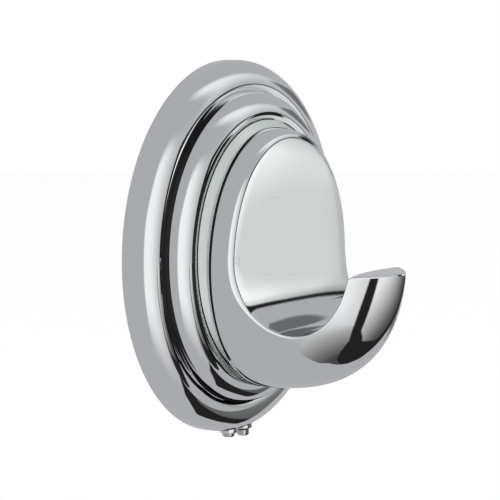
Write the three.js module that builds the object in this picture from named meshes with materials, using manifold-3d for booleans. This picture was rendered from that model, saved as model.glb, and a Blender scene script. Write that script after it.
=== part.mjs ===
// Round robe hook for a wall: a two-bead rosette, a cast hook with a scooped throat,
// the screw that joins them, a wall bracket behind, and two set screws in lugs that lock the rosette to it.
// Millimetres, +Z up. The wall is the plane y = 0 and the hook stands out from it towards -Y.
// The origin is the rosette's centre on the wall.
// "Depth" is the distance from the wall, so a point at depth d has y = -d.

import * as THREE from 'three';
import { mergeVertices } from 'three/addons/utils/BufferGeometryUtils.js';
import Module from 'manifold-3d';

const wasm = await Module();
wasm.setup();

// Clearances
const seatGap = 0.3;
const threadGap = 0.25;
const bracketGap = 0.5;
const headGap = 0.4;

// Rosette: two half-round beads in steps, cast as a shell
const rosetteRadius = 38;
const rosetteWall = 2.2;
const outerBeadRadius = 4.2;
const outerBeadDepth = 2.1;
const beadStep = 2.1;
const innerBeadRadius = 4;
const neckInset = 1.7;
const neckSeatDrop = 0.64;

// Hook casting
const hookReveal = 0.86;
const hookLength = 29.7;
const baseHalfWidth = 24.45;
const baseCrown = 26.2;
const baseBelly = 26.6;
const widestLevel = -1.5;
const flankHandle = 11.6;
const noseHandle = 7.2;
const bellyFullness = 2.77;
const crownFullness = 1.4;
const neckStep = 0.6;
const neckOverlap = 1;

// Scoop: an upright plate that runs down into an elliptical trough and up to the tip
const plateSetback = 4.9;
const scoopHalfWidth = 9.2;
const scoopHeight = 15.2;
const scoopLevel = 0.3;
const tipLevel = -3.3;

// Screw, washers and locating pip between rosette and hook
const hookScrewRadius = 2.5;
const hookScrewDrop = 11.5;
const hookScrewHeadRadius = 4.4;
const hookScrewHeadHeight = 2.4;
const hexKeyRadius = 1.7;
const hexKeyDepth = 1.4;
const springWasherRadius = 4.3;
const springWasherThickness = 1.1;
const springWasherSplit = 0.9;
const flatWasherRadius = 5;
const flatWasherThickness = 0.8;
const blindCover = 1.2;
const screwEndGap = 0.5;
const pipRadius = 1.8;
const pipLength = 1.8;
const pipRise = 14;

// Pressed bracket, its wall screws and plugs
const bracketSheet = 1.5;
const slotWidth = 4.5;
const slotLength = 8;
const wallScrewRadius = 1.75;
const wallScrewLength = 16;
const wallScrewPoint = 3;
const wallScrewHeadRadius = 4;
const wallScrewHeadHeight = 2.2;
const driverMargin = 0.9;
const plugRadius = 3;
const plugTipRadius = 2.6;
const plugLength = 14;
const plugTaper = 4;

// Set screws, drawn backed out of two lugs at the rosette's lowest point, and the boss inside it
const setScrewRadius = 1.25;
const setScrewLength = 8;
const setScrewChamfer = 0.35;
const setScrewSpacing = 5.8;
const setScrewDepth = 2.3;
const leftScrewStandOut = 1.2;
const rightScrewStandOut = 1.9;
const setScrewKeyRadius = 0.75;
const setScrewKeyDepth = 1.5;
const lugRadius = 1.9;
const lugDrop = 0.35;
const lugEdge = 0.3;
const bossWidth = 13;
const bossDepth = 4.6;
const bossHeight = 5.6;
const bossRoot = 1.65;

// Facets
const wideSides = 72;
const hookSides = 56;
const hookRings = 26;
const bracketSides = 56;
const screwSides = 24;
const beadSteps = 9;
const scoopSteps = 28;
const weldTolerance = 1e-4;

// Levels worked out from the sizes above
const outerBeadCentre = rosetteRadius - outerBeadRadius;
const innerBeadCentre = outerBeadCentre - beadStep - innerBeadRadius;
const innerBeadDepth = outerBeadDepth + Math.sqrt(outerBeadRadius ** 2 - beadStep ** 2);
const beadCrest = innerBeadDepth + innerBeadRadius;
const webFront = beadCrest - neckSeatDrop;
const hookScrewHeadBack = bracketSheet + headGap;
const springWasherBack = hookScrewHeadBack + hookScrewHeadHeight + seatGap;
const flatWasherBack = springWasherBack + springWasherThickness + seatGap;
const webBack = flatWasherBack + flatWasherThickness + seatGap;
const neckBack = webFront + seatGap;
const neckRadius = innerBeadCentre - neckInset;
const hookBack = beadCrest + hookReveal;
const plateDepth = hookBack + plateSetback;
const hookScrewHoleEnd = plateDepth - blindCover;
const cavityRadius = innerBeadCentre + innerBeadRadius - rosetteWall;
const shelfDepth = outerBeadDepth + outerBeadRadius - rosetteWall;
const bracketRadius = cavityRadius - bracketGap;
const bracketDepth = innerBeadDepth - bracketGap;
const wallScrewRise = bracketRadius - bracketSheet - wallScrewHeadRadius - driverMargin;

function solid(geometry) {
  const bare = new THREE.BufferGeometry();
  bare.setAttribute('position', geometry.attributes.position);
  bare.setIndex(geometry.index);
  const welded = mergeVertices(bare, weldTolerance);
  const corners = welded.index.array;
  const triangles = [];
  for (let i = 0; i < corners.length; i += 3) {
    const [a, b, c] = corners.slice(i, i + 3);
    if (a !== b && b !== c && c !== a) triangles.push(a, b, c);
  }
  return new wasm.Manifold(new wasm.Mesh({
    numProp: 3,
    vertProperties: welded.attributes.position.array,
    triVerts: new Uint32Array(triangles),
  }));
}

function geometryOf(body) {
  const mesh = body.getMesh();
  const geometry = new THREE.BufferGeometry();
  geometry.setAttribute('position', new THREE.BufferAttribute(mesh.vertProperties, 3));
  geometry.setIndex(new THREE.BufferAttribute(mesh.triVerts, 1));
  geometry.computeVertexNormals();
  return geometry;
}

// A profile of [radius, depth] points turned about the line through (x, z) square to the wall
function turned(profile, sides, x = 0, z = 0) {
  const points = profile.map(([radius, depth]) => new THREE.Vector2(radius, depth));
  return solid(new THREE.LatheGeometry(points, sides).rotateX(Math.PI).translate(x, 0, z));
}

// The same kind of profile turned about an upright line, its second number being the height
function turnedUpright(profile, sides, x, y) {
  const points = profile.map(([radius, height]) => new THREE.Vector2(radius, height));
  return solid(new THREE.LatheGeometry(points, sides).rotateX(Math.PI / 2).translate(x, y, 0));
}

function rod(radius, back, front) {
  return [[0, back], [radius, back], [radius, front], [0, front]];
}

function tube(inner, outer, back, front) {
  return [[inner, back], [outer, back], [outer, front], [inner, front], [inner, back]];
}

// Points of a half-round bead between two angles, measured from straight outwards
function beadArc(centre, depth, radius, from, to) {
  return Array.from({ length: beadSteps + 1 }, (_, i) => {
    const angle = from + (to - from) * i / beadSteps;
    return [centre + radius * Math.cos(angle), depth + radius * Math.sin(angle)];
  });
}

function makeRosette() {
  const seatRadius = neckRadius + seatGap;
  const crease = Math.acos(-beadStep / outerBeadRadius);
  const seatAngle = Math.acos((seatRadius - innerBeadCentre) / innerBeadRadius);
  const shell = turned([
    [0, webBack],
    [cavityRadius, webBack],
    [cavityRadius, shelfDepth],
    ...beadArc(outerBeadCentre, outerBeadDepth, outerBeadRadius - rosetteWall, Math.PI / 2, 0),
    [rosetteRadius - rosetteWall, 0],
    [rosetteRadius, 0],
    ...beadArc(outerBeadCentre, outerBeadDepth, outerBeadRadius, 0, crease),
    ...beadArc(innerBeadCentre, innerBeadDepth, innerBeadRadius, 0, seatAngle).slice(1),
    [seatRadius, webFront],
    [0, webFront],
  ], wideSides);
  const bossLow = bossRoot - rosetteRadius;
  const boss = new THREE.BoxGeometry(bossWidth, bossDepth, bossHeight - bossRoot);
  boss.translate(0, -bossDepth / 2, bossLow + (bossHeight - bossRoot) / 2);
  let body = shell.add(solid(boss));
  const lugLow = -rosetteRadius - lugDrop;
  const bossHigh = bossHeight - rosetteRadius;
  const lug = [
    [0, lugLow],
    [lugRadius - lugEdge, lugLow],
    [lugRadius, lugLow + lugEdge],
    [lugRadius, bossHigh - lugEdge],
    [0, bossHigh - lugEdge],
  ];
  const hole = rod(setScrewRadius + threadGap, lugLow - seatGap, bossHigh + seatGap);
  for (const side of [-1, 1]) {
    const x = side * setScrewSpacing / 2;
    body = body.add(turnedUpright(lug, screwSides, x, -setScrewDepth));
    body = body.subtract(turnedUpright(hole, screwSides, x, -setScrewDepth));
  }
  const screwHole = rod(hookScrewRadius + seatGap, 0, hookBack);
  const pipHole = rod(pipRadius + seatGap, 0, hookBack);
  return body
    .subtract(turned(screwHole, screwSides, 0, -hookScrewDrop))
    .subtract(turned(pipHole, screwSides, 0, pipRise));
}

// The hook's outer form: rings whose half width follows one plan curve from base to nose,
// each stretched to its own crown above and belly below the widest level
function makeHookForm() {
  const flank = new THREE.CubicBezierCurve(
    new THREE.Vector2(baseHalfWidth, 0),
    new THREE.Vector2(baseHalfWidth, flankHandle),
    new THREE.Vector2(noseHandle, hookLength),
    new THREE.Vector2(0, hookLength),
  );
  const profile = [new THREE.Vector2(0, 0), ...flank.getPoints(hookRings)];
  const form = new THREE.LatheGeometry(profile, hookSides).rotateX(Math.PI);
  const vertices = form.attributes.position;
  for (let i = 0; i < vertices.count; i += 1) {
    const { x: halfWidth, y: depth } = profile[i % profile.length];
    const along = depth / hookLength;
    const rise = halfWidth > 0 ? vertices.getZ(i) / halfWidth : 0;
    const reach = rise > 0
      ? baseCrown * Math.sqrt(1 - along ** crownFullness)
      : baseBelly * Math.sqrt(1 - along ** bellyFullness);
    vertices.setZ(i, widestLevel + rise * reach);
  }
  return solid(form.translate(0, -hookBack, 0));
}

// Everything in front of the plate and above the trough and tip, swept across the hook
function makeScoop() {
  const centre = plateDepth + scoopHalfWidth;
  const tipAngle = Math.asin((tipLevel - scoopLevel) / scoopHeight);
  const above = widestLevel + baseCrown + scoopHeight;
  const beyond = hookBack + hookLength + scoopHalfWidth;
  const outline = new THREE.Shape();
  outline.moveTo(plateDepth, above);
  outline.lineTo(plateDepth, scoopLevel);
  outline.absellipse(centre, scoopLevel, scoopHalfWidth, scoopHeight, Math.PI, 2 * Math.PI + tipAngle);
  outline.lineTo(beyond, tipLevel);
  outline.lineTo(beyond, above);
  const width = 2 * (baseHalfWidth + scoopHalfWidth);
  const cutter = new THREE.ExtrudeGeometry(outline, {
    depth: width,
    bevelEnabled: false,
    curveSegments: scoopSteps,
  });
  cutter.translate(0, 0, -width / 2).rotateX(Math.PI / 2).rotateZ(-Math.PI / 2);
  return solid(cutter);
}

function makeHookBody() {
  const neckEnd = baseHalfWidth - neckStep;
  const neck = turned([
    [0, neckBack],
    [neckRadius, neckBack],
    [neckEnd, hookBack],
    [neckEnd - neckOverlap, hookBack + neckOverlap],
    [0, hookBack + neckOverlap],
  ], hookSides);
  const pip = rod(pipRadius, neckBack - pipLength, hookBack);
  const tapped = rod(hookScrewRadius + threadGap, 0, hookScrewHoleEnd);
  return makeHookForm()
    .add(neck)
    .subtract(makeScoop())
    .subtract(turned(tapped, screwSides, 0, -hookScrewDrop))
    .add(turned(pip, screwSides, 0, pipRise));
}

function makeHookScrew() {
  const headFront = hookScrewHeadBack + hookScrewHeadHeight;
  const body = turned([
    [0, hookScrewHeadBack],
    [hookScrewHeadRadius, hookScrewHeadBack],
    [hookScrewHeadRadius, headFront],
    [hookScrewRadius, headFront],
    [hookScrewRadius, hookScrewHoleEnd - screwEndGap],
    [0, hookScrewHoleEnd - screwEndGap],
  ], screwSides, 0, -hookScrewDrop);
  const key = rod(hexKeyRadius, 0, hookScrewHeadBack + hexKeyDepth);
  return body.subtract(turned(key, 6, 0, -hookScrewDrop));
}

function makeSpringWasher() {
  const inner = hookScrewRadius + seatGap;
  const front = springWasherBack + springWasherThickness;
  const section = tube(inner, springWasherRadius, springWasherBack, front);
  const ring = turned(section, screwSides, 0, -hookScrewDrop);
  const split = new THREE.BoxGeometry(springWasherSplit, 2 * front, springWasherRadius);
  split.translate(0, -front, springWasherRadius / 2 + inner / 2 - hookScrewDrop);
  return ring.subtract(solid(split));
}

function makeFlatWasher() {
  const inner = hookScrewRadius + seatGap;
  const front = flatWasherBack + flatWasherThickness;
  const section = tube(inner, flatWasherRadius, flatWasherBack, front);
  return turned(section, screwSides, 0, -hookScrewDrop);
}

// A dish of sheet metal with its rim turned forwards and two level slots for the wall screws
function makeBracket() {
  const inside = bracketRadius - bracketSheet;
  const dish = turned([
    [0, 0],
    [bracketRadius, 0],
    [bracketRadius, bracketDepth],
    [inside, bracketDepth],
    [inside, bracketSheet],
    [0, bracketSheet],
  ], bracketSides);
  const outline = new THREE.Shape();
  const straight = (slotLength - slotWidth) / 2;
  outline.absarc(straight, 0, slotWidth / 2, -Math.PI / 2, Math.PI / 2);
  outline.absarc(-straight, 0, slotWidth / 2, Math.PI / 2, 1.5 * Math.PI);
  let body = dish;
  for (const side of [-1, 1]) {
    const slot = new THREE.ExtrudeGeometry(outline, {
      depth: 3 * bracketSheet,
      bevelEnabled: false,
      curveSegments: screwSides / 4,
    });
    slot.rotateX(Math.PI / 2).translate(0, bracketSheet, side * wallScrewRise);
    body = body.subtract(solid(slot));
  }
  return body;
}

function makeWallScrew(side) {
  const seat = bracketSheet + seatGap;
  return turned([
    [0, seat - wallScrewLength],
    [wallScrewRadius, seat - wallScrewLength + wallScrewPoint],
    [wallScrewRadius, seat],
    [wallScrewHeadRadius, seat],
    [wallScrewHeadRadius, seat + wallScrewHeadHeight / 2],
    [wallScrewHeadRadius / 2, seat + wallScrewHeadHeight],
    [0, seat + wallScrewHeadHeight],
  ], screwSides, 0, side * wallScrewRise);
}

function makeWallPlug(side) {
  const bore = wallScrewRadius + seatGap;
  const end = -seatGap - plugLength;
  return turned([
    [bore, end],
    [plugTipRadius, end],
    [plugRadius, end + plugTaper],
    [plugRadius, -seatGap],
    [bore, -seatGap],
    [bore, end],
  ], screwSides, 0, side * wallScrewRise);
}

function makeSetScrew(side, standOut) {
  const low = -rosetteRadius - standOut;
  const high = low + setScrewLength;
  const x = side * setScrewSpacing / 2;
  const body = turnedUpright([
    [0, low],
    [setScrewRadius - setScrewChamfer, low],
    [setScrewRadius, low + setScrewChamfer],
    [setScrewRadius, high - setScrewChamfer],
    [setScrewRadius - setScrewChamfer, high],
    [0, high],
  ], screwSides, x, -setScrewDepth);
  const key = rod(setScrewKeyRadius, low - setScrewKeyDepth, low + setScrewKeyDepth);
  return body.subtract(turnedUpright(key, 6, x, -setScrewDepth));
}

const chrome = { color: 0xc9cacd, roughness: 0.08, metalness: 1 };
const zincSteel = { color: 0xb4b6b2, roughness: 0.35, metalness: 1 };
const stainless = { color: 0xb9b5ae, roughness: 0.25, metalness: 1 };
const nylon = { color: 0x8f9294, roughness: 0.6, metalness: 0 };

function piece(name, body, finish) {
  const mesh = new THREE.Mesh(geometryOf(body), new THREE.MeshStandardMaterial(finish));
  mesh.name = name;
  return mesh;
}

const wallSide = new THREE.Group();
wallSide.add(piece('wall_bracket', makeBracket(), zincSteel));
for (const [place, side] of [['upper', 1], ['lower', -1]]) {
  wallSide.add(piece(`wall_screw_${place}`, makeWallScrew(side), zincSteel));
  wallSide.add(piece(`wall_plug_${place}`, makeWallPlug(side), nylon));
}

const cover = new THREE.Group();
cover.add(piece('rosette', makeRosette(), chrome));
cover.add(piece('hook_body', makeHookBody(), chrome));
cover.add(piece('hook_screw', makeHookScrew(), zincSteel));
cover.add(piece('spring_washer', makeSpringWasher(), zincSteel));
cover.add(piece('flat_washer', makeFlatWasher(), zincSteel));
cover.add(piece('set_screw_left', makeSetScrew(-1, leftScrewStandOut), stainless));
cover.add(piece('set_screw_right', makeSetScrew(1, rightScrewStandOut), stainless));

const wallHook = new THREE.Group();
wallHook.add(wallSide, cover);

export default wallHook;
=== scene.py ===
"""Chromed robe hook for a wall: the visible surface of every piece, built round the packed frame."""

import math

import bmesh
import bpy
import numpy as np
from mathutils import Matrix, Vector


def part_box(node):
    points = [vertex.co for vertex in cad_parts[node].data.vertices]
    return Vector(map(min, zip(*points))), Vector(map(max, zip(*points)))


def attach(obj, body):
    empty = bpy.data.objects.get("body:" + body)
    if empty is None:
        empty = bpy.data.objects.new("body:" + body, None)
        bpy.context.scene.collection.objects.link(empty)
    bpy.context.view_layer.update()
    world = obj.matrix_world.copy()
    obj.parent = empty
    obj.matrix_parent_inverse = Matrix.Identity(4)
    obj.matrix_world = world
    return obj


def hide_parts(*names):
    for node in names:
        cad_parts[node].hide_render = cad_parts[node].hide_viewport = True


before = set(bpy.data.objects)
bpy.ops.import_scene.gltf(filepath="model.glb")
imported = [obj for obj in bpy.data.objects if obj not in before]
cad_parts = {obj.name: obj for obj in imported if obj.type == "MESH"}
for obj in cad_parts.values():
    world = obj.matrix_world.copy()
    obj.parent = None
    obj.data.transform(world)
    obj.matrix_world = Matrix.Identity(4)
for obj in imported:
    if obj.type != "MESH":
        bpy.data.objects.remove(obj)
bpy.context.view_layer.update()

bl_info = {
    "name": "Wall Hook",
    "version": (1, 0, 0),
    "blender": (4, 5, 0),
    "location": "View3D > Sidebar > Wall Hook",
    "description": "Builds a chromed robe hook with its rosette, wall bracket and fixings",
    "category": "Add Mesh",
}

MM = 0.001
TURN = 2 * math.pi
MERGE_DISTANCE = 1e-7
SHARP_ANGLE = math.radians(35)

# Sides of the screws, the plugs and the holes
SMALL_SIDES = 72

# Corners of the frame's nodes that sizes are taken from
ROSETTE_LOW, ROSETTE_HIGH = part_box("rosette")
HOOK_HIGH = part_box("hook_body")[1]
BRACKET_LOW, BRACKET_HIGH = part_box("wall_bracket")
SET_SCREW_LOW, SET_SCREW_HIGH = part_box("set_screw_right")
HOOK_SCREW_LOW, HOOK_SCREW_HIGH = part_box("hook_screw")
SPRING_LOW, SPRING_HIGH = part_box("spring_washer")
WASHER_LOW, WASHER_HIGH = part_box("flat_washer")
WALL_SCREW_LOW, WALL_SCREW_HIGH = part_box("wall_screw_upper")
PLUG_LOW, PLUG_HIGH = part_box("wall_plug_upper")


def linear(hex_colour):
    """An sRGB hex colour as linear red, green and blue."""
    srgb = np.array([int(hex_colour[i:i + 2], 16) for i in (1, 3, 5)]) / 255
    return tuple(np.where(srgb <= 0.04045, srgb / 12.92, ((srgb + 0.055) / 1.055) ** 2.4))


def length(label, description, size):
    """A property for a size in metres."""
    return bpy.props.FloatProperty(
        name=label, description=description, default=size, min=0, precision=5, unit="LENGTH")


def colour(label, description, hex_colour):
    """A property for a colour that is written in sRGB hex."""
    return bpy.props.FloatVectorProperty(
        name=label, description=description, default=linear(hex_colour),
        subtype="COLOR", size=3, min=0, max=1)


class WallHookRosette(bpy.types.PropertyGroup):
    """Sizes of the two-bead rosette"""

    radius: length("Radius", "Outer radius of the rosette", ROSETTE_HIGH.x)
    crest: length("Crest", "Distance from the wall to the top of the inner bead", -ROSETTE_LOW.y)
    wall: length("Wall", "Thickness of the cast shell", 2.2 * MM)
    outer_bead: length("Outer Bead", "Radius of the outer bead's section", 4.2 * MM)
    outer_bead_depth: length("Outer Bead Height", "Wall to the outer bead's centre", 2.1 * MM)
    bead_step: length("Bead Step", "How far the inner bead stands in from the outer one's centre", 2.1 * MM)
    inner_bead: length("Inner Bead", "Radius of the inner bead's section", 4.0 * MM)
    seat_radius: length("Seat Radius", "Radius of the seat that takes the hook's neck", 26.3 * MM)
    seat_drop: length("Seat Drop", "How far the seat lies below the inner bead's crest", 0.64 * MM)
    web_back: length("Web Back", "Wall to the back of the web", 7.1 * MM)
    edge: length("Edge", "Rounding of the rosette's edges", 0.15 * MM)
    bracket_gap: length("Bracket Gap", "Clearance round the bracket", 0.5 * MM)
    pip_rise: length("Pip Rise", "Height of the locating hole above the centre", 14.0 * MM)
    pip_hole: length("Pip Hole", "Radius of the locating hole", 2.1 * MM)


class WallHookBody(bpy.types.PropertyGroup):
    """Sizes of the hook casting"""

    reveal: length("Reveal", "How far the hook's base stands off the rosette's crest", 0.86 * MM)
    reach: length("Reach", "Base to nose", 29.7 * MM)
    half_width: length("Half Width", "Half the width of the base", 24.45 * MM)
    crown: length("Crown", "Height of the base above its widest level", 26.2 * MM)
    belly: length("Belly", "Height of the base below its widest level", 26.6 * MM)
    widest_drop: length("Widest Drop", "How far the widest level lies below the centre", 1.5 * MM)
    flank_handle: length("Flank Handle", "How far the flank runs straight before it turns in", 11.6 * MM)
    nose_handle: length("Nose Handle", "How blunt the nose is", 7.2 * MM)
    belly_power: bpy.props.FloatProperty(
        name="Belly Fullness", description="Power of the belly's curve", default=2.77, min=1)
    crown_power: bpy.props.FloatProperty(
        name="Crown Fullness", description="Power of the crown's curve", default=1.4, min=1)
    plate_setback: length("Plate Setback", "Base to the upright plate", 4.9 * MM)
    tip_bend: length("Tip Bend", "Radius of the tip's inner edge as seen from above", 34 * MM)
    plate_toe: length("Plate Toe", "How far the plate's foot leans out before the trough", 0.2 * MM)
    toe_start: length("Toe Start", "Centre down to where the plate's foot starts to lean", 3 * MM)
    toe_end: length("Toe End", "Centre down to where it leans no further", 11 * MM)
    plate_dish: length("Plate Dish", "How far the plate's middle lies behind its sides", 0.22 * MM)
    scoop_half_width: length("Scoop Half Width", "Half the width of the throat", 9.2 * MM)
    scoop_height: length("Scoop Height", "Height of the throat's ellipse", 15.2 * MM)
    scoop_level: length("Scoop Level", "Level at which the plate runs into the throat", 0.3 * MM)
    tip_drop: length("Tip Drop", "How far the tip lies below the centre", 3.3 * MM)
    rim: length("Rim", "Rounding of the rim between flank and throat", 0.4 * MM)
    plate_rim: length("Plate Rim", "Rounding of the rim between flank and plate", 1.1 * MM)
    edge: length("Edge", "Rounding of the base's edge", 0.35 * MM)
    neck_radius: length("Neck Radius", "Radius of the neck where it sits in the rosette", 26.0 * MM)
    seat_gap: length("Seat Gap", "Clearance of the neck in its seat", 0.3 * MM)
    pip_radius: length("Pip Radius", "Radius of the locating pip", 1.8 * MM)
    pip_chamfer: length("Pip Chamfer", "Chamfer of the pip, and how deep its root is sunk", 0.3 * MM)
    tapped_radius: length("Tapped Hole", "Radius of the hole for the hook screw", 2.75 * MM)
    tapped_end: length("Tapped Hole End", "Wall to the end of the hole", 14.3 * MM)


class WallHookFixings(bpy.types.PropertyGroup):
    """Sizes of the screws, washers, plugs and bracket"""

    set_pitch: length("Set Screw Pitch", "Thread pitch of the M2.5 set screws", 0.45 * MM)
    set_plain_end: length("Set Screw Plain End", "Length of the smooth lower end", 1.5 * MM)
    set_key: length("Set Screw Key", "Half the width across flats of the hexagon", 0.65 * MM)
    set_key_depth: length("Set Screw Key Depth", "Depth of the hexagon", 1.5 * MM)
    set_hole_gap: length("Set Screw Clearance", "Clearance of a set screw in its hole", 0.25 * MM)
    lug_radius: length("Lug Radius", "Radius of the cast lugs round the set screws", 1.9 * MM)
    lug_drop: length("Lug Drop", "How far the lugs stand below the rosette", 0.35 * MM)
    lug_edge: length("Lug Edge", "Rounding of the lugs' lower edge", 0.3 * MM)
    boss_width: length("Boss Width", "Width of the boss that takes both set screws", 13.0 * MM)
    boss_depth: length("Boss Depth", "Wall to the front of the boss", 4.6 * MM)
    boss_low: length("Boss Low", "Centre to the lower side of the boss", 36.35 * MM)
    boss_high: length("Boss High", "Centre to the upper side of the boss", 32.4 * MM)
    hook_pitch: length("Hook Screw Pitch", "Thread pitch of the M5 hook screw", 0.8 * MM)
    hook_shank: length("Hook Screw Shank", "Radius of the hook screw's thread", 2.5 * MM)
    hook_head: length("Hook Screw Head", "Height of the hook screw's head", 2.4 * MM)
    hook_key: length("Hook Screw Key", "Half the width across flats of the hexagon", 1.5 * MM)
    hook_key_depth: length("Hook Screw Key Depth", "Depth of the hexagon", 1.4 * MM)
    washer_bore: length("Washer Bore", "Radius of the bore of both washers", 2.8 * MM)
    spring_split: length("Spring Split", "Gap between the ends of the spring washer", 0.9 * MM)
    sheet: length("Sheet", "Thickness of the bracket's steel", 1.5 * MM)
    slot_width: length("Slot Width", "Width of the slots for the wall screws", 4.5 * MM)
    slot_length: length("Slot Length", "Length of the slots for the wall screws", 8.0 * MM)
    wall_pitch: length("Wall Screw Pitch", "Thread pitch of the wall screws", 1.6 * MM)
    wall_shank: length("Wall Screw Shank", "Radius of the wall screws' thread", 1.75 * MM)
    wall_point: length("Wall Screw Point", "Length of the wall screws' point", 3.0 * MM)
    wall_head: length("Wall Screw Head", "Height of the wall screws' pan head", 2.2 * MM)
    plug_bore: length("Plug Bore", "Radius of the plugs' bore", 2.05 * MM)
    plug_taper: length("Plug Taper", "Length of the plugs' tapered end", 4.0 * MM)
    plug_rib: length("Plug Rib", "Spacing of the plugs' barbs", 1.5 * MM)


class WallHookFinishes(bpy.types.PropertyGroup):
    """Colours of the finishes"""

    chrome: colour("Chrome", "Bright chrome plate", "#EEEFF0")
    cast_chrome: colour("Cast Chrome", "Chrome plate over the roughly polished neck", "#D3DAD7")
    zinc: colour("Zinc", "Bright zinc plate on steel", "#C4C7C6")
    stainless: colour("Stainless", "Turned stainless steel", "#CFC9C2")
    nylon: colour("Nylon", "Moulded grey nylon", "#8F9294")


class WallHookStage(bpy.types.PropertyGroup):
    """Camera, cards and floor"""

    azimuth: bpy.props.FloatProperty(
        name="Azimuth", description="Camera's bearing round the hook", default=math.radians(-58.61),
        subtype="ANGLE")
    elevation: bpy.props.FloatProperty(
        name="Elevation", description="Camera's height above the horizon", default=math.radians(6.14),
        subtype="ANGLE")
    distance: length("Distance", "Camera to the centre of the rosette", 380 * MM)
    lens: bpy.props.FloatProperty(
        name="Lens", description="Focal length on a 36 mm sensor", default=132.95, subtype="DISTANCE_CAMERA")
    shift: bpy.props.FloatVectorProperty(
        name="Shift", description="How far the rosette's centre lies off the frame's", size=2,
        default=(0.0473, -0.0093))
    floor_drop: length("Floor Drop", "Centre of the rosette to the floor", 120 * MM)
    floor_reach: length("Floor Reach", "How far the floor goes on each way", 4)
    tent_radius: length("Tent Radius", "Radius of the tent round the hook", 2)
    side_panel_radius: length("Side Panel Radius", "Distance of the panel on the right", 85 * MM)
    lip_panel: bpy.props.FloatVectorProperty(
        name="Lip Panel", description="Point that the panel in front of the lip curves round",
        default=(5 * MM, -38 * MM, -15 * MM), size=3, subtype="TRANSLATION")
    lip_panel_radius: length("Lip Panel Radius", "Distance of the panel from that point", 30 * MM)
    top_flag: bpy.props.FloatVectorProperty(
        name="Top Flag", description="Point that the flag beside the rosette's top curves round",
        default=(1.5 * MM, -9.7 * MM, 27 * MM), size=3, subtype="TRANSLATION")
    top_flag_radius: length("Top Flag Radius", "Distance of the flag from that point", 25 * MM)
    tent: colour("Tent", "Pale tent round the hook", "#B4B5B8")
    softbox: colour("Softbox", "White softboxes", "#FFFFFF")
    side_card: colour("Side Card", "Pale card to the right of the hook", "#E6E9E8")
    flag: colour("Flag", "Black flags", "#242424")


GROUPS = {
    "wall_hook_rosette": WallHookRosette,
    "wall_hook_body": WallHookBody,
    "wall_hook_fixings": WallHookFixings,
    "wall_hook_finishes": WallHookFinishes,
    "wall_hook_stage": WallHookStage,
}


def mesh_from_grids(name, grids):
    """One mesh from grids of rows by columns by three whose columns close into rings.

    Four neighbouring points make a face. Points that coincide, at poles and seams, are merged.
    """
    points = []
    faces = []
    first = 0
    for grid in grids:
        rows, columns = grid.shape[:2]
        index = first + np.arange(rows * columns).reshape(rows, columns)
        beside = np.roll(index, -1, axis=1)
        faces.append(np.stack([index[:-1], beside[:-1], beside[1:], index[1:]], axis=-1).reshape(-1, 4))
        points.append(grid.reshape(-1, 3))
        first += rows * columns
    mesh = bpy.data.meshes.new(name)
    mesh.from_pydata(np.concatenate(points).tolist(), [], np.concatenate(faces).tolist())
    tidy = bmesh.new()
    tidy.from_mesh(mesh)
    bmesh.ops.remove_doubles(tidy, verts=tidy.verts, dist=MERGE_DISTANCE)
    bmesh.ops.recalc_face_normals(tidy, faces=tidy.faces)
    tidy.to_mesh(mesh)
    tidy.free()
    return mesh


def carve(mesh, tool, operation):
    """The mesh joined with or cut by another closed mesh."""
    body = bpy.data.objects.new("carved", mesh)
    cutter = bpy.data.objects.new("cutter", tool)
    for thing in (body, cutter):
        bpy.context.scene.collection.objects.link(thing)
    step = body.modifiers.new("carve", "BOOLEAN")
    step.operation = operation
    step.solver = "EXACT"
    step.object = cutter
    result = bpy.data.meshes.new_from_object(body.evaluated_get(bpy.context.evaluated_depsgraph_get()))
    bpy.data.objects.remove(body)
    bpy.data.objects.remove(cutter)
    return result


def dress(name, mesh, body, slot, replaced, *materials):
    """An object for a finished mesh that rides on its body and stands for a node of the frame."""
    mesh.polygons.foreach_set("use_smooth", np.ones(len(mesh.polygons), bool))
    mesh.set_sharp_from_angle(angle=SHARP_ANGLE)
    mesh.name = name
    mesh.materials.clear()
    for material in materials:
        mesh.materials.append(material)
    piece = bpy.data.objects.new(name, mesh)
    bpy.context.scene.collection.objects.link(piece)
    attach(piece, body)
    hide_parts(replaced)
    return piece


def rounded(corners, steps=7):
    """A line through corners of (radius, height, fillet).

    Each corner becomes a quadratic curve that starts and ends a fillet's length from it on its two sides.
    """
    corners = np.asarray(corners, float)
    here = corners[:, :2]
    reach = corners[:, 2:]
    before = np.roll(here, 1, axis=0) - here
    after = np.roll(here, -1, axis=0) - here
    start = here + reach * before / np.linalg.norm(before, axis=1, keepdims=True)
    end = here + reach * after / np.linalg.norm(after, axis=1, keepdims=True)
    t = np.linspace(0, 1, steps)[None, :, None]
    curve = (1 - t) ** 2 * start[:, None] + 2 * t * (1 - t) * here[:, None] + t ** 2 * end[:, None]
    return curve.reshape(-1, 2)


def arc(centre, radius, start, end, steps):
    """Points on a circle from one angle to another."""
    angle = np.linspace(start, end, steps)
    return np.stack([centre[0] + radius * np.cos(angle), centre[1] + radius * np.sin(angle)], axis=1)


def looped(profile):
    """The profile with its first point again at its end."""
    return np.concatenate([profile, profile[:1]])


def angles(sides):
    """Angles round a full turn, one for each side."""
    return np.arange(sides) * TURN / sides


def spun(radii, heights, sides, centre, upright=False):
    """Rings of the given radii and heights about a line through centre.

    The line is square to the wall, with heights measured out from it, or upright.
    """
    theta = angles(sides)
    radii, heights = np.broadcast_arrays(radii, heights)
    first = centre[0] + radii * np.cos(theta)
    second = centre[1] + radii * np.sin(theta)
    heights = np.broadcast_to(heights, first.shape)
    if upright:
        return np.stack([first, second, heights], axis=-1)
    return np.stack([first, -heights, second], axis=-1)


def turned(profile, sides, centre=(0, 0), upright=False):
    """A profile of (radius, height) points turned about a line."""
    profile = np.asarray(profile, float)
    return spun(profile[:, :1], profile[:, 1:], sides, centre, upright)


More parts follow.
